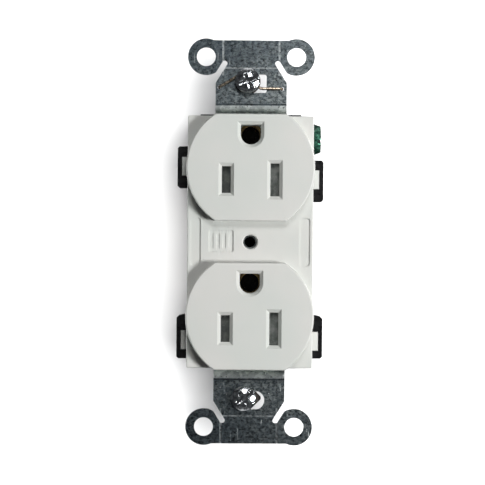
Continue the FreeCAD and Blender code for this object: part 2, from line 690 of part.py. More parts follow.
def blade_leaf(x, way, z):
    """One flat spring leaf with a flared mouth that opens away from the blade."""
    x0, x1 = x, x + way * LEAF
    wide = way * FLARE["wide"]
    tip, bend = LEAF_FRONT_Y - FLARE["front"], LEAF_FRONT_Y + FLARE["back"]
    points = (
        (x0 + wide, tip), (x1 + wide, tip), (x1, bend), (x1, LEAF_BACK_Y), (x0, LEAF_BACK_Y), (x0, bend),
    )
    return plan_prism(points, z - LEAF_HALF_HEIGHT, z + LEAF_HALF_HEIGHT)


def blade_grip(side, name):
    """Two leaves, their back web, and the arm to the terminal plate."""
    z = FACE_CENTRES[name] - BLADE_DROP
    middle = side * BLADE_X
    near = blade_leaf(middle - side * LEAF_GAP / 2, -side, z)
    far = blade_leaf(middle + side * LEAF_GAP / 2, side, z)
    reach = LEAF_GAP / 2 + LEAF
    heights = (z - LEAF_HALF_HEIGHT, z + LEAF_HALF_HEIGHT)
    web = box((middle - reach, middle + reach), (LEAF_BACK_Y - LEAF, LEAF_BACK_Y), heights)
    low, high = arm_heights(name)
    far_x = [side * x for x in (BLADE_X + LEAF_GAP / 2, BLADE_X + reach)]
    post = box(far_x, (ARM["front"], ARM["back"]), (min(low, z), max(high, z)))
    arm_x = [side * x for x in (BLADE_X + LEAF_GAP / 2, STRIP["outer"])]
    arm = box(arm_x, (ARM["front"], ARM["back"]), (low, high))
    return [near, far, web, post, arm]


def contact_strip(side):
    """Stamped strip of one side: terminal plates, break-off tab and blade grips."""
    x = [side * STRIP[key] for key in ("inner", "outer")]
    middle = sum(TERMINAL_Z) / 2
    gap = BREAK_OFF
    halves = (
        (middle + gap["half"], arm_heights("upper")[1]),
        (arm_heights("lower")[0], middle - gap["half"]),
    )
    parts = [box(x, (STRIP["front"], STRIP["back"]), heights) for heights in halves]
    fin = [side * edge for edge in (STRIP["inner"], STRIP["outer"] + gap["fin"])]
    depths = (gap["front"], gap["back"])
    parts.append(box(fin, depths, (middle - gap["fin_half"], middle + gap["fin_half"])))
    parts.append(box(x, depths, (middle - gap["tab"], middle + gap["tab"])))
    for name in FACE_CENTRES:
        parts += blade_grip(side, name)
    strip = fuse_all(parts)
    for z in TERMINAL_Z:
        strip = strip.cut(rod(TAPPED_R, (0, TERMINAL_Y, z), (side * LONG, TERMINAL_Y, z)))
    return strip


# --- terminals ---------------------------------------------------------------------------------------
def clamp_plate(side, out, y, z):
    """Pressure plate under a terminal screw's head, ribbed where it bears on the wires."""
    top = out - SCREW_HEAD
    under = top - CLAMP["thickness"]
    half_w, half_h = CLAMP["width"] / 2, CLAMP["height"] / 2
    plate = box((side * under, side * top), (y - half_w, y + half_w), (z - half_h, z + half_h))
    plate = rounded(plate, CLAMP["corner"], lambda e: e.Vertexes[0].X != e.Vertexes[-1].X)
    for groove in (-WIRE_SPREAD, WIRE_SPREAD):
        centre = side * (under - CLAMP["groove_in"])
        plate = plate.cut(along_y(CLAMP["groove_r"], centre, z + groove, y - half_w, y + half_w))
    return plate.cut(rod(SCREW_R + FIT / 2, (0, y, z), (side * LONG, y, z)))


def hexagon_head(side, base, y, z):
    """Hexagonal head with a chamfered outer face."""
    turns = [i * pi / 3 + HEX_TURN for i in range(6)]
    points = [(y + HEX_R * cos(turn), z + HEX_R * sin(turn)) for turn in turns]
    wire = Part.makePolygon([Vector(side * base, a, b) for a, b in points + points[:1]])
    head = Part.Face(wire).extrude(Vector(side * SCREW_HEAD, 0, 0))
    place = (Vector(side * base, y, z), Vector(side, 0, 0))
    return head.common(Part.makeCone(HEX_R, HEX_R - HEX_CHAMFER, SCREW_HEAD, *place))


def round_head(side, base, y, z):
    out = base + SCREW_HEAD
    head = rod(HEAD_R, (side * base, y, z), (side * out, y, z))
    return rounded(head, HEAD_EDGE, lambda e: all(abs(abs(v.X) - out) < TOUCH for v in e.Vertexes))


def terminal_screw(side, out, y, z, shank, head_shape, turn):
    """Slotted terminal screw with its axis along X and its head outward."""
    base = out - SCREW_HEAD
    head = head_shape(side, base, y, z)
    screw = head.fuse(rod(SCREW_R, (side * (base - shank), y, z), (side * (base + SLIGHT), y, z)))
    half = SCREW_SLOT["width"] / 2
    depths = (side * (out - SCREW_SLOT["depth"]), side * (out + PAST))
    slot = box(depths, (y - HEX_R - PAST, y + HEX_R + PAST), (z - half, z + half))
    slot.rotate(Vector(0, y, z), Vector(1, 0, 0), turn)
    return screw.cut(slot)


# --- shutters --------------------------------------------------------------------------------------------
def ramp(x, z0, z1):
    """Slanted front of a land: a blade that pushes on it drives the shutter to +X."""
    front, back = SHUTTER["front"], SHUTTER["back"]
    left, right = x - SHUTTER_LAND, x + SHUTTER_LAND
    points = ((left, front - PAST), (right, front - PAST), (right, front), (left, back - SHUTTER_LIP))
    return plan_prism(points, z0, z1)


def shutter(centre):
    """Sliding plate whose lands close both blade slots and whose windows open them."""
    s = SHUTTER
    z0, z1 = centre + s["low"], centre + s["high"]
    plate = box((s["left"], s["right"]), (s["front"], s["back"]), (z0, z1))
    slot_half = NEUTRAL_SLOT_HEIGHT / 2 + FIT
    blades = (centre - BLADE_DROP - slot_half, centre - BLADE_DROP + slot_half)
    half = BLADE_WINDOW / 2
    for x in (-BLADE_X, BLADE_X):
        plate = plate.cut(ramp(x, *blades))
        opening = x - SHUTTER_TRAVEL
        window = (opening - half, opening + half)
        plate = plate.cut(box(window, (s["front"] - PAST, s["back"] + PAST), blades))
    return plate


def spring_room(centre):
    w = SPRING_WINDOW
    return box((w["left"], w["right"]), (-LONG, LONG), (centre + w["low"], centre + w["high"]))


def spring_height(centre):
    return centre + (SPRING_WINDOW["low"] + SPRING_WINDOW["high"]) / 2


def coil_points(radius, length, turns, steps):
    """Corners of a coil of straight steps along X, from X = 0."""
    count = turns * steps
    for i in range(count + 1):
        turn = 2 * pi * i / steps
        yield Vector(length * i / count, radius * cos(turn), radius * sin(turn))


def shutter_spring(centre):
    """Compression coil between the shutter's window and the tray's post."""
    wire = SPRING["wire"]
    start = SPRING_WINDOW["left"] + wire + SPRING["gap"]
    length = SPRING_POST["left"] - wire - SPRING["gap"] - start
    points = list(coil_points(SPRING["mean"], length, SPRING["turns"], SPRING["steps"]))
    way = (points[1] - points[0]).normalize()
    side = way.cross(Vector(1, 0, 0)).normalize()
    up = side.cross(way)
    angles = [2 * pi * i / SPRING["sides"] for i in range(SPRING["sides"] + 1)]
    ring = [points[0] + side * (wire * cos(a)) + up * (wire * sin(a)) for a in angles]
    section = Part.makePolygon(ring)
    solid = Part.makePolygon(points).makePipeShell([section], True, False, 1)
    middle = (SHUTTER["front"] + SHUTTER["back"]) / 2
    solid.translate(Vector(start, middle, spring_height(centre)))
    return solid


def shutter_tray(centre):
    """Carrier behind the shutter: floor, side rails, end stops, spring post and rear rib."""
    t = TRAY
    z0, z1 = centre + t["low"], centre + t["high"]
    half = t["half_width"]
    blank = box((-half, half), (t["front"], t["back"]), (z0, z1))
    blank = blank.common(along_y(FACE_HOLLOW_R - SLIGHT, 0, centre, t["front"], t["back"]))
    s = SHUTTER
    room_x = (s["left"] - FIT, -s["left"] + FIT)
    room_z = (centre + s["low"] - FIT, centre + s["high"] + FIT)
    room = box(room_x, (t["front"] - PAST, t["floor"]), room_z)
    post_z = (centre + SPRING_WINDOW["low"] + FIT, centre + SPRING_WINDOW["high"] - FIT)
    post_x = (SPRING_POST["left"], SPRING_POST["right"])
    post = box(post_x, (t["front"] + FIT / 2, t["floor"] + FIT), post_z)
    r = TRAY_RIB
    rib_z = (centre + r["low"], centre + r["high"])
    rib = box((-r["half_width"], r["half_width"]), (t["back"] - FIT, r["back"]), rib_z)
    tray = fuse_all([blank.cut(room), post, rib])
    half_slot = NEUTRAL_SLOT_HEIGHT / 2 + SLIGHT
    blades = (centre - BLADE_DROP - half_slot, centre - BLADE_DROP + half_slot)
    for x in (-BLADE_X, BLADE_X):
        window = (x - BLADE_WINDOW / 2, x + BLADE_WINDOW / 2)
        tray = tray.cut(box(window, (-LONG, LONG), blades))
    return tray


# --- mounting screws, washers and clip ---------------------------------------------------------------------
def mounting_screw(x, z, seat, turn):
    """Oval-head screw with a combination slot and cross recess."""
    m = MOUNT_SCREW
    top = seat - m["head_height"]
    rim = seat - (m["head_height"] - m["dome"])
    head = along_y(m["head"], x, z, rim, seat)
    cap_r = (m["head"] ** 2 + m["dome"] ** 2) / (2 * m["dome"])
    cap = Part.makeSphere(cap_r, Vector(x, top + cap_r, z))
    cap = cap.common(along_y(m["head"], x, z, top - PAST, rim))
    neck = along_y(m["neck"], x, z, rim, m["neck_end"])
    thread = along_y(m["thread"], x, z, m["neck_end"], m["tip"])
    thread = thread.makeChamfer(m["point"], [e for e in thread.Edges if lies_at_y(m["tip"])(e)])
    screw = fuse_all([head, cap, neck, thread])
    wide, half = m["head"] + PAST, DRIVE["cross_span"] / 2
    slot, bar = DRIVE["slot"] / 2, DRIVE["cross"] / 2
    depth = (top - PAST, top + DRIVE["cross_depth"])
    tools = [
        box((x - wide, x + wide), (top - PAST, top + DRIVE["slot_depth"]), (z - slot, z + slot)),
        box((x - bar, x + bar), depth, (z - half, z + half)),
        box((x - half, x + half), depth, (z - bar, z + bar)),
    ]
    for tool in tools:
        tool.rotate(Vector(x, 0, z), Vector(0, -1, 0), turn)
    return cut_all(screw, tools)


def round_washer():
    return along_y(WASHER["outer"], 0, 0, WASHER["front"], WASHER["front"] + WASHER["thickness"])


def square_washer():
    """Square washer that stands on one corner."""
    w, front = SQUARE_WASHER, WASHER["front"]
    plate = rounded_block(w["side"], w["side"], front, front + WASHER["thickness"], w["corner"])
    plate.rotate(Vector(0, 0, 0), Vector(0, 1, 0), w["turn"])
    return plate


def captive_washer(x, z, blank):
    blank.translate(Vector(x, 0, z))
    return blank.cut(along_y(WASHER["hole"], x, z, 0, LONG))


def grounding_wire_clip():
    """Spring wire that bears on the upper mounting screw, with both ends through the strap."""
    (first_x, first_z), (last_x, last_z) = CLIP_HOLES
    points = [(first_x, CLIP_TAIL_Y, first_z)]
    points += [(x, CLIP_Y, z) for x, z in CLIP_ROUTE]
    points.append((last_x, CLIP_TAIL_Y, last_z))
    bits = [rod(CLIP_WIRE_R, a, b) for a, b in zip(points, points[1:])]
    bits += [Part.makeSphere(CLIP_WIRE_R, Vector(*p)) for p in points[1:-1]]
    return fuse_all(bits)


WASHER_BLANKS = dict(upper=round_washer, lower=square_washer)


# --- the assembly ------------------------------------------------------------------------------------------
def nodes():
    yield "cover", cover()
    yield "rear_body", rear_body()
    yield "mounting_strap", mounting_strap()
    yield "ground_rivets", ground_rivets()
    yield "grounding_wire_clip", grounding_wire_clip()
    for name, centre in FACE_CENTRES.items():
        x, z, seat, turn = SCREW_PLACES[name]
        yield f"mounting_screw_{name}", mounting_screw(x, z, seat, turn)
        yield f"captive_washer_{name}", captive_washer(x, z, WASHER_BLANKS[name]())
        yield f"ground_contact_{name}", ground_contact(centre)
        yield f"shutter_tray_{name}", shutter_tray(centre)
        yield f"shutter_{name}", shutter(centre).cut(spring_room(centre))
        yield f"shutter_spring_{name}", shutter_spring(centre)
    for side, wire in ((-1, "hot"), (1, "neutral")):
        yield f"{wire}_contact_strip", contact_strip(side)
        for name, z, turn in zip(FACE_CENTRES, TERMINAL_Z, SLOT_TURNS):
            place = (side, TERMINAL_OUT, TERMINAL_Y, z)
            yield f"{wire}_clamp_{name}", clamp_plate(*place)
            yield f"{wire}_screw_{name}", terminal_screw(*place, SCREW_SHANK, round_head, turn)
    place = (1, GROUND_OUT, GROUND_TERMINAL_Y, GROUND_TERMINAL_Z)
    yield "ground_clamp_plate", clamp_plate(*place)
    yield "ground_screw", terminal_screw(*place, GROUND_SHANK, hexagon_head, GROUND_SLOT_TURN)


os.makedirs("parts", exist_ok=True)
for node, shape in nodes():
    shape.exportStep(f"parts/{node}.step")
    print(f"{node:24s} solids {len(shape.Solids)} valid {shape.isValid()} volume {shape.Volume:9.2f}")
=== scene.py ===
import json
from math import cos, floor, pi, radians, sin

import bmesh
import bpy
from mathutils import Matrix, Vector


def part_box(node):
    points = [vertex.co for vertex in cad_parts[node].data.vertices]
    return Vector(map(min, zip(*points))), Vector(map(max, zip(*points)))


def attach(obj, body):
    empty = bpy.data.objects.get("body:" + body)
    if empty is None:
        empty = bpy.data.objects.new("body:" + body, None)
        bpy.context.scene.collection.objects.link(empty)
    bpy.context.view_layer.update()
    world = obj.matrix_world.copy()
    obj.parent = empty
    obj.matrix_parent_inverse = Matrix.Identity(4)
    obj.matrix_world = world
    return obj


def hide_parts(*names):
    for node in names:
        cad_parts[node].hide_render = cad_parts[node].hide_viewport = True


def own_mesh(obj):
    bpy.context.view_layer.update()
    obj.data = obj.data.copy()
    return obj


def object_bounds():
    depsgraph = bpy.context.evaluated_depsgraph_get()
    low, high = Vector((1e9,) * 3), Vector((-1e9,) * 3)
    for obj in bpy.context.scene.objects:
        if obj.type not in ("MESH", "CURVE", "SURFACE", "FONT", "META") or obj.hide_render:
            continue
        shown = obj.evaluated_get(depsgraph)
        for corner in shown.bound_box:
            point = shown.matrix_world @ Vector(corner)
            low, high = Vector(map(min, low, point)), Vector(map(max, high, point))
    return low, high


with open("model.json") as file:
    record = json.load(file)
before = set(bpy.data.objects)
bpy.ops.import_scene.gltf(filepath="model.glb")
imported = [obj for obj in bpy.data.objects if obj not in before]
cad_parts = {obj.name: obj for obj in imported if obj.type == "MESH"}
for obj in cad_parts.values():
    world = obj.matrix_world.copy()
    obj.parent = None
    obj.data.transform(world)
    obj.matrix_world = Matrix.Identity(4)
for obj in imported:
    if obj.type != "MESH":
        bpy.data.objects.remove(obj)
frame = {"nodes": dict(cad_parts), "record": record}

CAD_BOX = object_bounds()
MM = 0.001
NODES = frame["nodes"]
RECORD = frame["record"]
BODY_OF = {node: body for body, nodes in RECORD["behaviour"]["bodies"].items() for node in nodes}
SLOT_OF = {part["node"]: part["material_slot"] for part in RECORD["subparts"]}

# --- the object's sizes, in metres ---------------------------------------------------------------
EAR_LINE = 7.4 * MM                      # score lines of the plaster ears, from the middle
CROSS_LINE = 45.8 * MM                   # score line across the strap, from the middle
BEND_START = 35.95 * MM                  # where the strap bends forward, from the middle
BEND_SHADE_HALF = 0.22 * MM
EAR_LINE_HALF = 0.34 * MM
CROSS_LINE_HALF = 0.24 * MM

MOUTH_DEPTH = CAD_BOX[0].y + 1.2 * MM    # the openings' sloping rims end in front of this
MOUTH_LEAN = (0.5, 0.9)                  # how far a rim's face looks forward, 1 being straight ahead
MOUTH_ROUNDING = 0.3 * MM
MOUTH_SEGMENTS = 3
EDGE_SEGMENTS = 2
SCREW_ROUNDING = 0.09 * MM
EDGE_ROUNDING = {
    "cover": 0.10 * MM,
    "rear_body": 0.12 * MM,
    "mounting_strap": 0.17 * MM,
    "captive_washer_upper": 0.08 * MM,
    "captive_washer_lower": 0.08 * MM,
    "shutter_upper": 0.08 * MM,
    "shutter_lower": 0.08 * MM,
    "hot_clamp_upper": 0.1 * MM,
    "hot_clamp_lower": 0.1 * MM,
    "neutral_clamp_upper": 0.1 * MM,
    "neutral_clamp_lower": 0.1 * MM,
    "ground_clamp_plate": 0.1 * MM,
    "hot_contact_strip": 0.06 * MM,
    "neutral_contact_strip": 0.06 * MM,
    "ground_contact_upper": 0.06 * MM,
    "ground_contact_lower": 0.06 * MM,
    "ground_rivets": 0.06 * MM,
}

WIRE_RADIUS = 0.375 * MM
WIRE_SIDES = 14
WIRE_BEND = 0.7 * MM                     # reach of each bend along the straight runs beside it
WIRE_BEND_SHARE = 0.45                   # and at most this part of a short run
WIRE_BEND_STEPS = 5
WIRE_RUN = (                             # corners, right and up from the lower left, in millimetres
    (0.0, 0.35), (6.0, 4.0), (9.1, 4.0), (9.75, 3.15), (9.75, 0.95), (10.7, 0.0), (16.5, 0.0),
)

SPRING_WIRE_RADIUS = 0.15 * MM
SPRING_SIDES = 8
SPRING_TURNS = 5
SPRING_STEPS = 20                        # straight steps in one turn of the coil

MOUNT_THREAD = dict(outer=1.72 * MM, depth=0.36 * MM, pitch=0.79 * MM)
MOUNT_THREAD_START = 2.85 * MM           # how far behind the object's origin the thread starts
TERMINAL_THREAD = dict(outer=2.03 * MM, depth=0.38 * MM, pitch=0.84 * MM)
TERMINAL_HEAD = 2.0 * MM                 # thickness of a terminal screw's head
TERMINAL_SCREWS = (
    "hot_screw_upper", "hot_screw_lower", "neutral_screw_upper", "neutral_screw_lower", "ground_screw",
)
THREAD_SIDES = 28
THREAD_STEPS = 8                         # rings of vertices in one turn of the thread
THREAD_CREST = 1.35                      # above 1, so that the crest has a narrow flat
TIP_RADIUS = 0.55                        # radius at the thread's tip, as a part of the full one
TIP_TURNS = 1.2                          # turns over which the tip narrows
CORE_RADIUS = 0.93                       # the core's radius, as a part of the thread's root
SHANK_REACH = 1.02                       # vertices within this part of the thread's radius are shank
SHANK_SLACK = 0.02 * MM

MERGE_DISTANCE = 1e-7
FLAT_ANGLE = 0.4                         # degrees; faces that differ by less are one flat face
ROUNDED_ANGLE = 28                       # degrees; edges that turn by more are rounded
CREASE_ANGLE = 50                        # degrees; edges that turn by more stay sharp in the shading
SCREW_CREASE_ANGLE = 38

# --- the studio's sizes and strengths, in metres and watts ---------------------------------------
PAPER_GREY = 0.8
WALL_GLOW = 0.04
WALL_HALF = 0.6
WALL_GAP = 0.3 * MM                      # from the object's back to the paper behind it
FLOOR_GLOW = 0.75
FLOOR_HALF = 2.0
FLOOR_DROP = 20 * MM                     # from the object's lower end to the floor

OBJECT_LIGHTS = (
    dict(name="key_right", direction=(0.70, -0.70, -0.12), distance=0.60, size=0.12, power=3.35),
    dict(name="top", direction=(0.10, -0.85, 0.50), distance=0.60, size=0.16, power=1.15),
    dict(name="rear_left", direction=(-0.85, 0.55, -0.15), distance=0.55, size=0.30, power=2.6),
    dict(name="rear_right", direction=(0.6, 0.8, 0.25), distance=0.55, size=0.30, power=2.8),
)
WALL_LIGHT = dict(name="paper_light", direction=(0.27, -0.95, 0.05), distance=0.60, size=0.60, power=13.2)

WHITE = (1.0, 1.0, 1.0)
COOL_WHITE = (0.92, 0.96, 1.0)
ROOM_GLOW = 0.035                        # what matt surfaces see
BACKGROUND_GLOW = 1.05                   # what the camera sees
CARD_GLOW = 1.0                          # what polished surfaces see straight up and down
DIM_GLOW = 0.07                          # what polished surfaces see elsewhere
CARD_EDGE = (0.78, 0.95)                 # how steep the view is where the pale cards fade in

PICTURE_SCALE = 3.80                     # picture points for each millimetre of the strap
PICTURE_SIDE = 485
SENSOR = 36.0                            # millimetres
CAMERA_DISTANCE = 0.680
CAMERA_X = -1.98 * MM
CAMERA_Z = -0.15 * MM
CAMERA_ROLL = 0.45                       # degrees
CAMERA_NEAR = 0.05


# --- node graphs ---------------------------------------------------------------------------------
class Graph:
    """A material's node tree, with short calls for the nodes used here. Lengths are in metres."""

    def __init__(self, name, base, metallic=0.0, roughness=0.4):
        self.material = bpy.data.materials.new(name)
        self.material.use_nodes = True
        self.tree = self.material.node_tree
        self.shader = self.tree.nodes["Principled BSDF"]
        self.set("Base Color", (*base, 1.0))
        self.set("Metallic", metallic)
        self.set("Roughness", roughness)
        self.place = self.tree.nodes.new("ShaderNodeTexCoord").outputs["Object"]
        self.normal = None

    def set(self, socket, value):
        """A value that is the same all over the surface."""
        self.shader.inputs[socket].default_value = value

    def link(self, output, socket):
        self.tree.links.new(output, socket)

    def stretched(self, scale, turn=(0, 0, 0)):
        """Object coordinates, turned by these degrees and stretched."""
        node = self.tree.nodes.new("ShaderNodeMapping")
        node.inputs["Scale"].default_value = scale
        node.inputs["Rotation"].default_value = [radians(angle) for angle in turn]
        self.link(self.place, node.inputs["Vector"])
        return node.outputs["Vector"]

    def noise(self, size, detail=3.0, roughness=0.55, where=None, distortion=0.0):
        """Noise whose features are about this large."""
        node = self.tree.nodes.new("ShaderNodeTexNoise")
        node.inputs["Scale"].default_value = 1.0 / size
        node.inputs["Detail"].default_value = detail
        node.inputs["Roughness"].default_value = roughness
        node.inputs["Distortion"].default_value = distortion
        self.link(where or self.place, node.inputs["Vector"])
        return node.outputs["Fac"]

    def cells(self, size, randomness=1.0):
        """Flat cells about this large, each with its own value."""
        node = self.tree.nodes.new("ShaderNodeTexVoronoi")
        node.inputs["Scale"].default_value = 1.0 / size
        node.inputs["Randomness"].default_value = randomness
        self.link(self.place, node.inputs["Vector"])
        grey = self.tree.nodes.new("ShaderNodeSeparateColor")
        self.link(node.outputs["Color"], grey.inputs["Color"])
        return grey.outputs["Red"]

    def remap(self, value, low, high, to_low=0.0, to_high=1.0):
        """The range from low to high, spread smoothly over a new range."""
        node = self.tree.nodes.new("ShaderNodeMapRange")
        node.interpolation_type = "SMOOTHSTEP"
        for name, number in (("From Min", low), ("From Max", high), ("To Min", to_low), ("To Max", to_high)):
            node.inputs[name].default_value = number
        self.link(value, node.inputs["Value"])
        return node.outputs["Result"]

    def axis(self, name):
        """Place along one axis."""
        split = self.tree.nodes.new("ShaderNodeSeparateXYZ")
        self.link(self.place, split.inputs["Vector"])
        return split.outputs[name]

    def across(self, name, low, high):
        """0 to 1 along one axis."""
        return self.remap(self.axis(name), low, high)

    def outward(self, name):
        """Distance from the middle along one axis."""
        return self.math("ABSOLUTE", self.axis(name), 0.0)

    def near(self, name, distance, half_width):
        """1 on the pair of lines this far either side of the middle."""
        off = self.math("ABSOLUTE", self.math("SUBTRACT", self.outward(name), distance), 0.0)
        return self.remap(off, half_width * 0.5, half_width, 1.0, 0.0)

    def beyond(self, name, distance):
        """1 further than this from the middle."""
        return self.math("GREATER_THAN", self.outward(name), distance)

    def within(self, name, distance):
        """1 closer than this to the middle."""
        return self.math("LESS_THAN", self.outward(name), distance)

    def math(self, operation, a, b):
        """One step of arithmetic on numbers or outputs."""
        node = self.tree.nodes.new("ShaderNodeMath")
        node.operation = operation
        for socket, value in zip(node.inputs, (a, b)):
            if isinstance(value, (int, float)):
                socket.default_value = value
            else:
                self.link(value, socket)
        return node.outputs["Value"]

    def mix(self, fac, a, b):
        """Colour mix: a and b are colours or outputs."""
        node = self.tree.nodes.new("ShaderNodeMix")
        node.data_type = "RGBA"
        for socket, value in ((node.inputs["A"], a), (node.inputs["B"], b)):
            if isinstance(value, tuple):
                socket.default_value = (*value, 1.0)
            else:
                self.link(value, socket)
        self.link(fac, node.inputs["Factor"])
        return node.outputs["Result"]

    def color(self, output):
        self.link(output, self.shader.inputs["Base Color"])

    def rough(self, output):
        self.link(output, self.shader.inputs["Roughness"])

    def bump(self, height, depth):
        """Bump of this depth, on top of the bumps given before."""
        node = self.tree.nodes.new("ShaderNodeBump")
        node.inputs["Distance"].default_value = depth
        node.inputs["Strength"].default_value = 1.0
        self.link(height, node.inputs["Height"])
        if self.normal is not None:
            self.link(self.normal, node.inputs["Normal"])
        self.normal = node.outputs["Normal"]
        self.link(self.normal, self.shader.inputs["Normal"])


# --- materials -----------------------------------------------------------------------------------
def cover_plastic():
    """Warm white moulded nylon with a faint flow pattern and a satin grain."""
    g = Graph("cover_plastic", (0.66, 0.665, 0.635), roughness=0.42)
    flow = g.remap(g.noise(24 * MM, detail=2.0), 0.3, 0.7)
    cloud = g.mix(flow, (0.640, 0.665, 0.630), (0.700, 0.695, 0.665))
    specks = g.remap(g.noise(0.35 * MM, detail=2.0), 0.70, 0.78)
    g.color(g.mix(specks, cloud, (0.60, 0.60, 0.57)))
    g.rough(g.remap(g.noise(1.6 * MM, detail=4.0), 0.25, 0.75, 0.36, 0.5))
    g.bump(g.noise(0.22 * MM), 0.006 * MM)
    g.bump(g.noise(5 * MM, detail=1.0), 0.02 * MM)
    g.set("Subsurface Weight", 0.06)
    g.set("Subsurface Radius", (0.8 * MM, 0.7 * MM, 0.6 * MM))
    return g.material


def black_plastic():
    """Black thermoplastic with a fine spark-eroded grain and rubbed high spots."""
    g = Graph("black_plastic", (0.006, 0.006, 0.007), roughness=0.4)
    blotches = g.remap(g.noise(2.5 * MM, detail=5.0), 0.45, 0.8)
    g.color(g.mix(blotches, (0.003, 0.003, 0.0035), (0.009, 0.009, 0.010)))
    g.rough(g.remap(g.noise(0.8 * MM, detail=4.0), 0.3, 0.7, 0.26, 0.42))
    g.set("Specular IOR Level", 0.3)
    g.bump(g.noise(0.18 * MM, detail=4.0), 0.012 * MM)
    return g.material


def scratches(g, turn, size, thin, share):
    """Thin straight marks that all run one way."""
    where = g.stretched((1.0, 1.0, thin), turn)
    return g.remap(g.noise(size, detail=2.0, where=where), share, share + 0.035)


def stains_and_painted_light(g):
    """Dark and pale stains, with painted light: a painted sheen that makes them paler to the right and near
    the body, a painted highlight where the strap is bent, and a painted dark line where the bend starts.
    """
    grain = g.stretched((1.0, 1.0, 1.5))
    stain = g.noise(1.2 * MM, detail=8.0, roughness=0.8, where=grain, distortion=0.3)
    # painted sheen: paler to the right, where the key light falls, and near the body, which the strap
    # mirrors
    painted_sheen = g.math("MULTIPLY", g.across("X", -13 * MM, 14 * MM), 0.55)
    painted_sheen = g.math("ADD", painted_sheen, g.remap(g.outward("Z"), 37 * MM, 50 * MM, 0.45, 0.0))
    dark = g.mix(painted_sheen, (0.018, 0.024, 0.029), (0.085, 0.104, 0.112))
    light = g.mix(painted_sheen, (0.135, 0.165, 0.180), (0.50, 0.55, 0.55))
    tone = g.mix(g.remap(stain, 0.40, 0.60), dark, light)
    # painted highlight: the bent strap made nearly white, in place of the light it reflects there
    bend_highlight = g.remap(g.outward("Z"), BEND_START - 0.2 * MM, BEND_START, 1.0, 0.0)
    tone = g.mix(bend_highlight, tone, (0.90, 0.95, 0.93))
    # painted shade: a dark line just beyond where the bend starts
    shade = g.near("Z", BEND_START + 0.25 * MM, BEND_SHADE_HALF)
    return g.mix(shade, tone, (0.055, 0.065, 0.072))


def score_lines(g):
    """Painted highlight along the score lines, where their creases catch the light: down beside each ear,
    and across the strap between them, broken into blotches.
    """
    bends = g.math("MULTIPLY", g.near("X", EAR_LINE, EAR_LINE_HALF), g.beyond("Z", CROSS_LINE - 2 * MM))
    cross = g.math("MULTIPLY", g.near("Z", CROSS_LINE, CROSS_LINE_HALF), g.within("X", EAR_LINE))
    blotches = g.remap(g.noise(0.5 * MM, detail=4.0), 0.3, 0.6, 0.15, 0.85)
    return g.math("MULTIPLY", g.math("MAXIMUM", bends, cross), blotches)


def galvanized_steel():
    """Blue-grey zinc coat: spangle, mottled stains, handling scratches, and painted light: a painted sheen,
    painted highlights on the bends and score lines, and a painted dark line where the bends start.
    """
    g = Graph("galvanized_steel", (0.3, 0.34, 0.37), metallic=1.0, roughness=0.4)
    spangle = g.remap(g.cells(1.1 * MM), 0.1, 0.9, 0.0, 0.4)
    tone = g.mix(spangle, stains_and_painted_light(g), (0.155, 0.19, 0.215))
    fine = g.remap(g.noise(0.25 * MM, detail=4.0, roughness=0.75), 0.56, 0.72, 0.0, 0.6)
    tone = g.mix(fine, tone, (0.40, 0.44, 0.46))
    pale_lines = g.math("MAXIMUM", scratches(g, (0, 20, 0), 0.16 * MM, 0.03, 0.685),
                   scratches(g, (0, -63, 0), 0.13 * MM, 0.04, 0.70))
    # the score lines add a painted highlight to the pale scratch lines
    pale_lines = g.math("MAXIMUM", pale_lines, score_lines(g))
    g.color(g.mix(pale_lines, tone, (0.62, 0.66, 0.67)))
    g.rough(g.remap(g.noise(0.7 * MM, detail=5.0, roughness=0.65), 0.3, 0.7, 0.24, 0.44))
    g.bump(g.noise(0.5 * MM, detail=5.0, roughness=0.6), 0.022 * MM)
    g.bump(pale_lines, 0.005 * MM)
    return g.material


def plated_metal(name, dark, light, roughness, dent, depth):
    """Plated metal with uneven thickness, fine pitting and dents of this size and depth."""
    g = Graph(name, light, metallic=1.0, roughness=roughness)
    patch = g.remap(g.noise(0.9 * MM, detail=5.0, roughness=0.65), 0.34, 0.66)
    g.color(g.mix(patch, dark, light))
    g.rough(g.remap(g.noise(0.5 * MM, detail=4.0), 0.3, 0.7, roughness * 0.7, roughness * 1.5))
    g.bump(g.noise(dent, detail=4.0, roughness=0.6), depth)
    return g.material


def smooth_plastic(name, dark, light, roughness):
    """Small moulded part: faint mottling and a soft grain."""
    g = Graph(name, light, roughness=roughness)
    g.color(g.mix(g.remap(g.noise(2.2 * MM, detail=4.0), 0.35, 0.65), dark, light))
    g.rough(g.remap(g.noise(0.6 * MM), 0.3, 0.7, roughness * 0.8, roughness * 1.3))
    g.bump(g.noise(0.25 * MM), 0.006 * MM)
    return g.material


def shutter_plastic():
    """Grey glossy nylon, paler towards the right."""
    g = Graph("shutter_plastic", (0.13, 0.14, 0.135), roughness=0.2)
    paler_to_right = g.across("X", -2 * MM, 7 * MM)
    cloud = g.remap(g.noise(2.2 * MM, detail=4.0), 0.35, 0.65)
    dull = g.mix(cloud, (0.090, 0.100, 0.095), (0.145, 0.155, 0.145))
    g.color(g.mix(paler_to_right, dull, g.mix(cloud, (0.15, 0.165, 0.155), (0.27, 0.285, 0.27))))
    g.rough(g.remap(g.noise(0.6 * MM), 0.3, 0.7, 0.16, 0.28))
    g.bump(g.noise(0.25 * MM), 0.006 * MM)
    return g.material


def pressed_fibre():
    """Brown vulcanised fibre with its short strands showing."""
    g = Graph("washer_fibre", (0.2, 0.14, 0.09), roughness=0.75)
    strands = g.noise(0.16 * MM, detail=5.0, roughness=0.7, where=g.stretched((1.0, 1.0, 0.25), (0, 35, 0)))
    g.color(g.mix(g.remap(strands, 0.35, 0.65), (0.020, 0.017, 0.015), (0.055, 0.045, 0.038)))
    g.rough(g.remap(strands, 0.3, 0.7, 0.65, 0.85))
    g.bump(strands, 0.02 * MM)
    return g.material


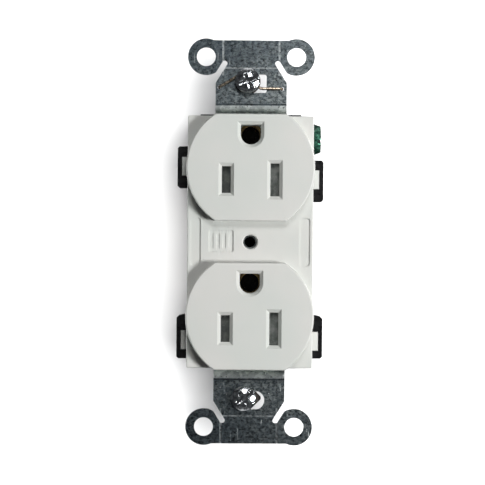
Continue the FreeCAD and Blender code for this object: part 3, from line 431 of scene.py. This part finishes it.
def green_dye():
    """Green dyed zinc plate, worn lighter in patches."""
    g = Graph("green_screw", (0.01, 0.12, 0.07), metallic=0.75, roughness=0.24)
    patch = g.remap(g.noise(1.1 * MM, detail=5.0, roughness=0.6), 0.35, 0.7)
    g.color(g.mix(patch, (0.012, 0.075, 0.047), (0.085, 0.27, 0.18)))
    g.rough(g.remap(g.noise(0.6 * MM, detail=4.0), 0.3, 0.7, 0.16, 0.36))
    g.bump(g.noise(0.9 * MM, detail=4.0), 0.09 * MM)
    g.set("Coat Weight", 0.4)
    g.set("Coat Roughness", 0.12)
    return g.material


PLATED_METALS = {
    "rivet_steel": dict(dark=(0.35, 0.36, 0.37), light=(0.58, 0.59, 0.6), roughness=0.32,
                        dent=0.5 * MM, depth=0.02 * MM),
    "spring_brass": dict(dark=(0.20, 0.155, 0.11), light=(0.62, 0.53, 0.42), roughness=0.24,
                         dent=0.4 * MM, depth=0.008 * MM),
    "zinc_screw": dict(dark=(0.22, 0.24, 0.26), light=(0.80, 0.82, 0.83), roughness=0.11,
                       dent=0.6 * MM, depth=0.07 * MM),
    "contact_brass": dict(dark=(0.20, 0.135, 0.06), light=(0.52, 0.38, 0.18), roughness=0.34,
                          dent=0.6 * MM, depth=0.01 * MM),
    "spring_steel": dict(dark=(0.45, 0.45, 0.46), light=(0.68, 0.68, 0.69), roughness=0.22,
                         dent=0.3 * MM, depth=0.003 * MM),
    "clamp_steel": dict(dark=(0.42, 0.43, 0.43), light=(0.66, 0.67, 0.66), roughness=0.34,
                        dent=0.6 * MM, depth=0.015 * MM),
    "brass_screw": dict(dark=(0.55, 0.38, 0.14), light=(0.85, 0.65, 0.32), roughness=0.22,
                        dent=0.6 * MM, depth=0.02 * MM),
    "silver_screw": dict(dark=(0.58, 0.58, 0.57), light=(0.84, 0.83, 0.81), roughness=0.2,
                         dent=0.6 * MM, depth=0.02 * MM),
}


def all_materials():
    """Each material slot's material."""
    materials = {name: plated_metal(name, **look) for name, look in PLATED_METALS.items()}
    materials["cover_plastic"] = cover_plastic()
    materials["black_plastic"] = black_plastic()
    materials["galvanized_steel"] = galvanized_steel()
    materials["washer_fibre"] = pressed_fibre()
    materials["tray_plastic"] = smooth_plastic("tray_plastic", dark=(0.33, 0.335, 0.33),
                                               light=(0.40, 0.405, 0.40), roughness=0.45)
    materials["shutter_plastic"] = shutter_plastic()
    materials["green_screw"] = green_dye()
    return materials


# --- mesh helpers --------------------------------------------------------------------------------
def stand_in(bm, node, materials):
    """The piece made from this mesh, smooth shaded, which stands for the CAD node."""
    name = node + "_finished"
    mesh = bpy.data.meshes.new(name)
    bm.to_mesh(mesh)
    bm.free()
    for polygon in mesh.polygons:
        polygon.use_smooth = True
    mesh.materials.append(materials[SLOT_OF[node]])
    piece = bpy.data.objects.new(name, mesh)
    bpy.context.scene.collection.objects.link(piece)
    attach(piece, BODY_OF[node])
    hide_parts(node)
    return piece


def cleaned(node):
    """The node's mesh as a bmesh, joined up and with its flat faces whole."""
    bm = bmesh.new()
    bm.from_mesh(NODES[node].data)
    bmesh.ops.remove_doubles(bm, verts=bm.verts, dist=MERGE_DISTANCE)
    bmesh.ops.dissolve_limit(bm, angle_limit=radians(FLAT_ANGLE), verts=bm.verts, edges=bm.edges)
    return bm


def bevel(bm, edges, width, segments):
    """Rounds these edges over this width."""
    bmesh.ops.bevel(bm, geom=edges, offset=width, offset_type="OFFSET", segments=segments,
                    profile=0.5, affect="EDGES", clamp_overlap=True)


def round_edges(bm, width):
    """Rounds every edge that clearly turns."""
    least = radians(ROUNDED_ANGLE)
    turning = [edge for edge in bm.edges if edge.is_manifold and edge.calc_face_angle(0) > least]
    bevel(bm, turning, width, EDGE_SEGMENTS)


def mark_creases(bm, angle):
    """Edges that turn by more than this many degrees stay sharp in the shading."""
    for edge in bm.edges:
        edge.smooth = edge.calc_face_angle(0) < radians(angle)


def is_mouth_edge(edge):
    """An edge of the sloping rims of the slots and the ground hole."""
    low, high = MOUTH_LEAN
    sloping = any(low < -face.normal.y < high for face in edge.link_faces)
    deepest = max(vertex.co.y for vertex in edge.verts)
    return edge.is_manifold and sloping and deepest < MOUTH_DEPTH


def weigh_normals(piece):
    """Flat faces stay flat, and the narrow rounded edges between them carry the turn."""
    modifier = piece.modifiers.new("weighted_normals", "WEIGHTED_NORMAL")
    modifier.keep_sharp = True
    modifier.weight = 100


def softened(node, width, materials):
    """A copy of a CAD node with rounded edges, which stands for it."""
    bm = cleaned(node)
    if node == "cover":
        bevel(bm, [edge for edge in bm.edges if is_mouth_edge(edge)], MOUTH_ROUNDING, MOUTH_SEGMENTS)
    round_edges(bm, width)
    mark_creases(bm, CREASE_ANGLE)
    weigh_normals(stand_in(bm, node, materials))


def join_rings(bm, rings):
    """Joins rings of vertices with quads, closes both ends and turns the faces outward."""
    count = len(rings[0])
    made = []
    for near, far in zip(rings, rings[1:]):
        for k in range(count):
            after = (k + 1) % count
            made.append(bm.faces.new((near[k], near[after], far[after], far[k])))
    made.append(bm.faces.new(rings[0]))
    made.append(bm.faces.new(rings[-1]))
    bmesh.ops.recalc_face_normals(bm, faces=made)


def tube(points, radius, sides):
    """Closed round wire through the points."""
    bm = bmesh.new()
    rings = []
    side = None
    for i, point in enumerate(points):
        ahead = points[min(i + 1, len(points) - 1)]
        behind = points[max(i - 1, 0)]
        way = (ahead - behind).normalized()
        side = way.orthogonal() if side is None else side - way * side.dot(way)
        side.normalize()
        up = way.cross(side)
        turns = [2 * pi * k / sides for k in range(sides)]
        rings.append([bm.verts.new(point + (side * cos(t) + up * sin(t)) * radius) for t in turns])
    join_rings(bm, rings)
    mark_creases(bm, CREASE_ANGLE)
    return bm


# --- spring wire ---------------------------------------------------------------------------------
def eased(points, reach):
    """Points with each corner turned into a small bend."""
    path = [points[0]]
    for before, corner, after in zip(points, points[1:], points[2:]):
        come, leave = before - corner, after - corner
        start = corner + come.normalized() * min(reach, come.length * WIRE_BEND_SHARE)
        end = corner + leave.normalized() * min(reach, leave.length * WIRE_BEND_SHARE)
        for i in range(WIRE_BEND_STEPS + 1):
            t = i / WIRE_BEND_STEPS
            path.append(start * (1 - t) ** 2 + corner * 2 * t * (1 - t) + end * t ** 2)
    path.append(points[-1])
    return path


def wire_clip(materials):
    """The bent grounding wire, one smooth run with both tails turned back through the strap."""
    low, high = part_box("grounding_wire_clip")
    left, bottom, front = low.x + WIRE_RADIUS, low.z + WIRE_RADIUS, low.y + WIRE_RADIUS
    run = [Vector((left + x * MM, front, bottom + z * MM)) for x, z in WIRE_RUN]
    tails = [Vector((end.x, high.y, end.z)) for end in (run[0], run[-1])]
    path = eased([tails[0]] + run + [tails[1]], WIRE_BEND)
    stand_in(tube(path, WIRE_RADIUS, WIRE_SIDES), "grounding_wire_clip", materials)


def coil(low, high):
    """Points along a coil that fills the box from end to end."""
    middle = (low + high) / 2
    mean = (high.z - low.z) / 2 - SPRING_WIRE_RADIUS
    start, end = low.x + SPRING_WIRE_RADIUS, high.x - SPRING_WIRE_RADIUS
    count = SPRING_TURNS * SPRING_STEPS
    points = []
    for i in range(count + 1):
        turn = 2 * pi * i / SPRING_STEPS
        x = start + (end - start) * i / count
        points.append(Vector((x, middle.y + mean * cos(turn), middle.z + mean * sin(turn))))
    return points


def return_spring(name, materials):
    """Round wire coil with a mesh of its own; the real spring shortens as its shutter slides."""
    node = "shutter_spring_" + name
    low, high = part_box(node)
    piece = stand_in(tube(coil(low, high), SPRING_WIRE_RADIUS, SPRING_SIDES), node, materials)
    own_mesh(piece)


# --- screws --------------------------------------------------------------------------------------
def thread_ring(bm, centre, axis, along, travelled, taper, thread):
    """Vertices round the thread at one place along it."""
    side = Vector((0, 0, 1))
    up = axis.cross(side)
    ring = []
    for k in range(THREAD_SIDES):
        turn = 2 * pi * k / THREAD_SIDES
        phase = travelled / thread["pitch"] - k / THREAD_SIDES
        phase -= floor(phase)
        ridge = min(1.0, THREAD_CREST * (1 - abs(2 * phase - 1)))
        radius = (thread["outer"] - thread["depth"] * (1 - ridge)) * taper
        ring.append(bm.verts.new(centre + axis * along + (side * cos(turn) + up * sin(turn)) * radius))
    return ring


def add_thread(bm, centre, axis, start, end, thread):
    """A screw thread as one closed surface, tapered at its far end."""
    steps = int(abs(end - start) / thread["pitch"] * THREAD_STEPS)
    rings = []
    for j in range(steps + 1):
        along = start + (end - start) * j / steps
        taper = min(1.0, TIP_RADIUS + (1 - TIP_RADIUS) * (steps - j) / (TIP_TURNS * THREAD_STEPS))
        rings.append(thread_ring(bm, centre, axis, along, abs(along - start), taper, thread))
    join_rings(bm, rings)


def sink_shank(bm, centre, axis, start, end, thread):
    """Draws the plain shank in, so that it lies under the thread from end to end."""
    root = thread["outer"] - thread["depth"]
    for vertex in bm.verts:
        arm = vertex.co - centre
        along = arm.dot(axis)
        radial = arm - axis * along
        if along > start - SHANK_SLACK and radial.length < thread["outer"] * SHANK_REACH:
            sunk = min(along, end - thread["depth"])
            vertex.co = centre + axis * sunk + radial * (root * CORE_RADIUS / thread["outer"])


def threaded_screw(node, centre, axis, start, end, thread, materials):
    """The CAD screw's head with rounded edges, and a real thread in place of its plain shank."""
    bm = cleaned(node)
    round_edges(bm, SCREW_ROUNDING)
    sink_shank(bm, centre, axis, start, end, thread)
    add_thread(bm, centre, axis, start, end, thread)
    mark_creases(bm, SCREW_CREASE_ANGLE)
    stand_in(bm, node, materials)


def mounting_screw(node, materials):
    """A screw that points straight back through the strap."""
    low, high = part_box(node)
    centre = Vector(((low.x + high.x) / 2, 0, (low.z + high.z) / 2))
    threaded_screw(node, centre, Vector((0, 1, 0)), MOUNT_THREAD_START, high.y, MOUNT_THREAD, materials)


def terminal_screw(node, materials):
    """A screw that points in from the side it sits on."""
    low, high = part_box(node)
    middle = (low + high) / 2
    outward = 1 if middle.x > 0 else -1
    head = Vector((high.x if outward > 0 else low.x, middle.y, middle.z))
    threaded_screw(node, head, Vector((-outward, 0, 0)), TERMINAL_HEAD, high.x - low.x, TERMINAL_THREAD,
                   materials)


def dress_cad(materials):
    """Each CAD node that stays in view gets its slot's material."""
    for node, thing in NODES.items():
        thing.data.materials.clear()
        thing.data.materials.append(materials[SLOT_OF[node]])


# --- stage, light and camera ---------------------------------------------------------------------
def paper(name, glow, see_through):
    """Pale paper: diffuse with some light of its own. It can be clear when seen from behind."""
    material = bpy.data.materials.new(name)
    material.use_nodes = True
    tree = material.node_tree
    tree.nodes.clear()
    out = tree.nodes.new("ShaderNodeOutputMaterial")
    matt = tree.nodes.new("ShaderNodeBsdfDiffuse")
    matt.inputs["Color"].default_value = (PAPER_GREY, PAPER_GREY, PAPER_GREY, 1)
    light = tree.nodes.new("ShaderNodeEmission")
    light.inputs["Strength"].default_value = glow
    surface = tree.nodes.new("ShaderNodeAddShader")
    tree.links.new(matt.outputs[0], surface.inputs[0])
    tree.links.new(light.outputs[0], surface.inputs[1])
    if see_through:
        clear = tree.nodes.new("ShaderNodeBsdfTransparent")
        behind = tree.nodes.new("ShaderNodeNewGeometry").outputs["Backfacing"]
        surface = choose(tree, behind, surface, clear)
    tree.links.new(surface.outputs[0], out.inputs["Surface"])
    return material


def sheet(name, corners, material):
    """A flat sheet of the stage: the camera sees it, but it throws no light back on the object."""
    mesh = bpy.data.meshes.new(name)
    mesh.from_pydata(corners, [], [range(len(corners))])
    mesh.materials.append(material)
    thing = bpy.data.objects.new(name, mesh)
    bpy.context.scene.collection.objects.link(thing)
    thing.visible_shadow = False
    thing.visible_diffuse = False
    thing.visible_glossy = False
    thing.visible_transmission = False
    return thing


def make_stage():
    """The floor, and the paper wall behind the object."""
    low, high = CAD_BOX
    back = high.y + WALL_GAP
    ground = low.z - FLOOR_DROP
    wall = sheet("backdrop", [(-WALL_HALF, back, ground), (WALL_HALF, back, ground),
                              (WALL_HALF, back, WALL_HALF), (-WALL_HALF, back, WALL_HALF)],
                 paper("backdrop_paper", WALL_GLOW, True))
    sheet("floor", [(-FLOOR_HALF, -FLOOR_HALF, ground), (FLOOR_HALF, -FLOOR_HALF, ground),
                    (FLOOR_HALF, FLOOR_HALF, ground), (-FLOOR_HALF, FLOOR_HALF, ground)],
          paper("floor_paper", FLOOR_GLOW, False))
    return wall


def area_light(name, direction, distance, size, power):
    """Square area light that faces the middle of the object."""
    light = bpy.data.lights.new(name, "AREA")
    light.size = size
    light.energy = power
    thing = bpy.data.objects.new(name, light)
    way = Vector(direction).normalized()
    thing.location = way * distance
    thing.rotation_euler = way.to_track_quat("Z", "Y").to_euler()
    bpy.context.scene.collection.objects.link(thing)
    return thing


def link_to_wall(lights, wall, state):
    """Lights that shine on the wall alone, or on everything but the wall."""
    group = bpy.data.collections.new("wall_" + state.lower())
    group.objects.link(wall)
    group.collection_objects[0].light_linking.link_state = state
    for light in lights:
        light.light_linking.receiver_collection = group


def make_lights(wall):
    """Lights for the object, and one of its own for the paper behind it."""
    link_to_wall([area_light(**light) for light in OBJECT_LIGHTS], wall, "EXCLUDE")
    link_to_wall([area_light(**WALL_LIGHT)], wall, "INCLUDE")


def light_path(tree, name):
    return tree.nodes.new("ShaderNodeLightPath").outputs[name]


def background(tree, color, strength):
    """Light of one colour from all round."""
    node = tree.nodes.new("ShaderNodeBackground")
    node.inputs["Color"].default_value = (*color, 1)
    node.inputs["Strength"].default_value = strength
    return node


def choose(tree, switch, off, on):
    """One shader where the switch is 0 and the other where it is 1."""
    node = tree.nodes.new("ShaderNodeMixShader")
    tree.links.new(switch, node.inputs[0])
    tree.links.new(off.outputs[0], node.inputs[1])
    tree.links.new(on.outputs[0], node.inputs[2])
    return node


def steepness(tree):
    """0 where the view runs level, 1 where it runs straight up or down."""
    place = tree.nodes.new("ShaderNodeTexCoord")
    split = tree.nodes.new("ShaderNodeSeparateXYZ")
    tree.links.new(place.outputs["Generated"], split.inputs[0])
    size = tree.nodes.new("ShaderNodeMath")
    size.operation = "ABSOLUTE"
    tree.links.new(split.outputs["Z"], size.inputs[0])
    band = tree.nodes.new("ShaderNodeMapRange")
    band.interpolation_type = "SMOOTHSTEP"
    band.inputs["From Min"].default_value, band.inputs["From Max"].default_value = CARD_EDGE
    tree.links.new(size.outputs[0], band.inputs["Value"])
    return band.outputs["Result"]


def make_world():
    """White to the camera, a dim room to matt surfaces, and paler up and down to polished ones."""
    world = bpy.data.worlds.new("studio")
    bpy.context.scene.world = world
    world.use_nodes = True
    tree = world.node_tree
    tree.nodes.clear()
    out = tree.nodes.new("ShaderNodeOutputWorld")
    dim = background(tree, COOL_WHITE, DIM_GLOW)
    cards = background(tree, WHITE, CARD_GLOW)
    paler_to_right = choose(tree, steepness(tree), dim, cards)
    room = background(tree, COOL_WHITE, ROOM_GLOW)
    seen = choose(tree, light_path(tree, "Is Glossy Ray"), room, paler_to_right)
    white = background(tree, WHITE, BACKGROUND_GLOW)
    seen = choose(tree, light_path(tree, "Is Camera Ray"), seen, white)
    tree.links.new(seen.outputs[0], out.inputs["Surface"])


def make_camera():
    """The camera looks straight at the front, a touch to the left of the middle."""
    data = bpy.data.cameras.new("camera")
    data.sensor_width = SENSOR
    data.lens = PICTURE_SCALE * (CAMERA_DISTANCE / MM) * SENSOR / PICTURE_SIDE
    data.clip_start = CAMERA_NEAR
    camera = bpy.data.objects.new("camera", data)
    bpy.context.scene.collection.objects.link(camera)
    camera.location = (CAMERA_X, -CAMERA_DISTANCE, CAMERA_Z)
    camera.rotation_euler = (radians(90), radians(-CAMERA_ROLL), 0)
    bpy.context.scene.camera = camera


def main():
    bpy.context.scene.view_settings.view_transform = "Standard"
    bpy.context.scene.view_settings.look = "None"
    materials = all_materials()
    dress_cad(materials)
    for node, width in EDGE_ROUNDING.items():
        softened(node, width, materials)
    wire_clip(materials)
    for name in ("upper", "lower"):
        return_spring(name, materials)
        mounting_screw("mounting_screw_" + name, materials)
    for node in TERMINAL_SCREWS:
        terminal_screw(node, materials)
    make_lights(make_stage())
    make_world()
    make_camera()


main()
